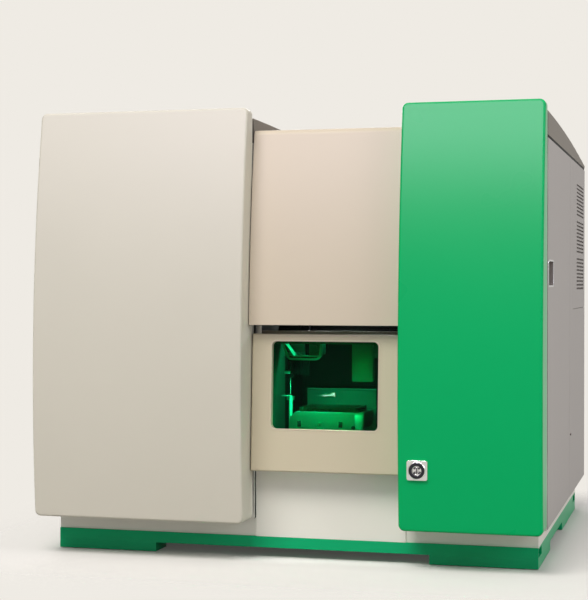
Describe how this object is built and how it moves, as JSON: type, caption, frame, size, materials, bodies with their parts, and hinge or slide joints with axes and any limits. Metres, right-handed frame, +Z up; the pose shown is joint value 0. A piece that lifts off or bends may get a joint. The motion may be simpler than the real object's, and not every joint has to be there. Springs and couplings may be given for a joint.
{
  "type": "flow cytometer",
  "caption": "Bench flow cytometer with two bowed side doors, a sliding sample door with a tinted window, a side access door and a raised plinth.",
  "frame": {"origin": "middle of the footprint, on the surface that the foot pads stand on", "axes": "+X to the right seen from the front, +Y to the back, +Z up"},
  "size_m": [1.036, 1, 0.907],
  "materials": {
    "green_enamel": "semi-gloss enamel",
    "green_door_moulding": "semi-gloss painted moulding",
    "cream_door_moulding": "satin painted moulding",
    "beige_moulding": "satin painted moulding",
    "tan_moulding": "satin painted moulding",
    "roof_paint": "fine-texture powder coat",
    "clear_plastic": "moulded polystyrene",
    "cream_paint": "satin powder coat",
    "grey_paint": "fine-texture powder coat",
    "zinc_steel": "zinc plated",
    "stainless": "fine brushed",
    "bright_chrome": "polished",
    "anodised": "clear anodised",
    "black_anodised": "black anodised",
    "black_plastic": "moulded",
    "white_plastic": "moulded",
    "tank_plastic": "translucent moulding",
    "green_tint": "tinted acrylic",
    "clear_glass": "polished",
    "seal_foam": "cellular rubber",
    "dark_liner": "powder coat"
  },
  "bodies": {
    "cabinet": {"barcode_reader": "black_plastic", "base_pan": "cream_paint", "beam_optics": "black_anodised", "bottom_fascia": "cream_paint", "bulkheads": "dark_liner", "card_cage": "zinc_steel", "centre_roof_cover": "beige_moulding", "chamber_lamp": "white_plastic", "chamber_liner": "dark_liner", "detector_modules": "black_anodised", "door_hinges": "zinc_steel", "door_seals": "seal_foam", "fan_frames": "black_plastic", "flow_cell": "clear_glass", "fluidics_shelf": "zinc_steel", "foot_pads": "seal_foam", "front_frame": "cream_paint", "gantry_beam": "anodised", "laser_modules": "anodised", "left_roof_cover": "roof_paint", "left_side_panel": "grey_paint", "mains_inlet": "black_plastic", "optical_plate": "black_anodised", "optics_shelf": "zinc_steel", "plinth": "green_enamel", "power_supply": "zinc_steel", "rear_panel": "grey_paint", "right_rear_side_panel": "grey_paint", "right_roof_cover": "roof_paint", "right_vent_panel": "grey_paint", "sample_door_guides": "stainless", "sheath_pump": "black_plastic", "sheath_tank": "tank_plastic", "stage_rails": "stainless", "tank_caps": "black_plastic", "top_deck": "dark_liner", "upper_front_cover": "beige_moulding", "valve_manifold": "white_plastic", "wash_station": "stainless", "waste_tank": "tank_plastic"},
    "left_door": {"left_door_shell": "cream_door_moulding", "left_door_liner": "cream_paint"},
    "right_door": {"right_door_shell": "green_door_moulding", "right_door_liner": "cream_paint", "lock_plate": "bright_chrome"},
    "door_lock": {"lock_rotor": "bright_chrome"},
    "sample_door": {"sample_door_frame": "tan_moulding", "sample_window": "green_tint"},
    "side_door": {"side_door_panel": "grey_paint", "side_door_pull": "black_plastic"},
    "stage": {"stage_carriage": "black_anodised", "plate_carrier": "anodised", "microplate": "clear_plastic"},
    "probe_slide": {"probe_carriage": "black_anodised"},
    "probe": {"probe_arm": "stainless", "needle_holder": "black_anodised", "sample_needle": "stainless"},
    "left_fan": {"fan_rotor_left": "black_plastic"},
    "right_fan": {"fan_rotor_right": "black_plastic"},
    "rocker": {"power_rocker": "black_plastic"}
  },
  "joints": [
    {"name": "left_door_swing", "type": "hinge", "parent": "cabinet", "child": "left_door", "pos_m": [-0.512, -0.41177, 0.5], "axis": [0, 0, 1], "range_deg": [-105, 0]},
    {"name": "right_door_swing", "type": "hinge", "parent": "cabinet", "child": "right_door", "pos_m": [0.512, -0.41177, 0.5], "axis": [0, 0, 1], "range_deg": [0, 105]},
    {"name": "door_lock_turn", "type": "hinge", "parent": "right_door", "child": "door_lock", "pos_m": [0.27947, -0.40177, 0.198], "axis": [0, 1, 0], "range_deg": [0, 90]},
    {"name": "sample_door_lift", "type": "slide", "parent": "cabinet", "child": "sample_door", "axis": [0, 0.0541, 0.9985], "range_m": [0, 0.27]},
    {"name": "side_door_swing", "type": "hinge", "parent": "cabinet", "child": "side_door", "pos_m": [0.511, 0.07723, 0.46], "axis": [0, 0, 1], "range_deg": [0, 95]},
    {"name": "stage_travel", "type": "slide", "parent": "cabinet", "child": "stage", "axis": [0, 1, 0], "range_m": [-0.02, 0.05]},
    {"name": "probe_traverse", "type": "slide", "parent": "cabinet", "child": "probe_slide", "axis": [1, 0, 0], "range_m": [0, 0.145]},
    {"name": "probe_dip", "type": "slide", "parent": "probe_slide", "child": "probe", "axis": [0, 0, 1], "range_m": [-0.035, 0]},
    {"name": "left_fan_spin", "type": "hinge", "parent": "cabinet", "child": "left_fan", "pos_m": [0.01766, 0.485, 0.64], "axis": [0, 1, 0], "continuous": true},
    {"name": "right_fan_spin", "type": "hinge", "parent": "cabinet", "child": "right_fan", "pos_m": [0.15132, 0.485, 0.64], "axis": [0, 1, 0], "continuous": true},
    {"name": "rocker_tip", "type": "hinge", "parent": "cabinet", "child": "rocker", "pos_m": [0.16999, 0.492, 0.14], "axis": [1, 0, 0], "range_deg": [0, 18]}
  ]
}
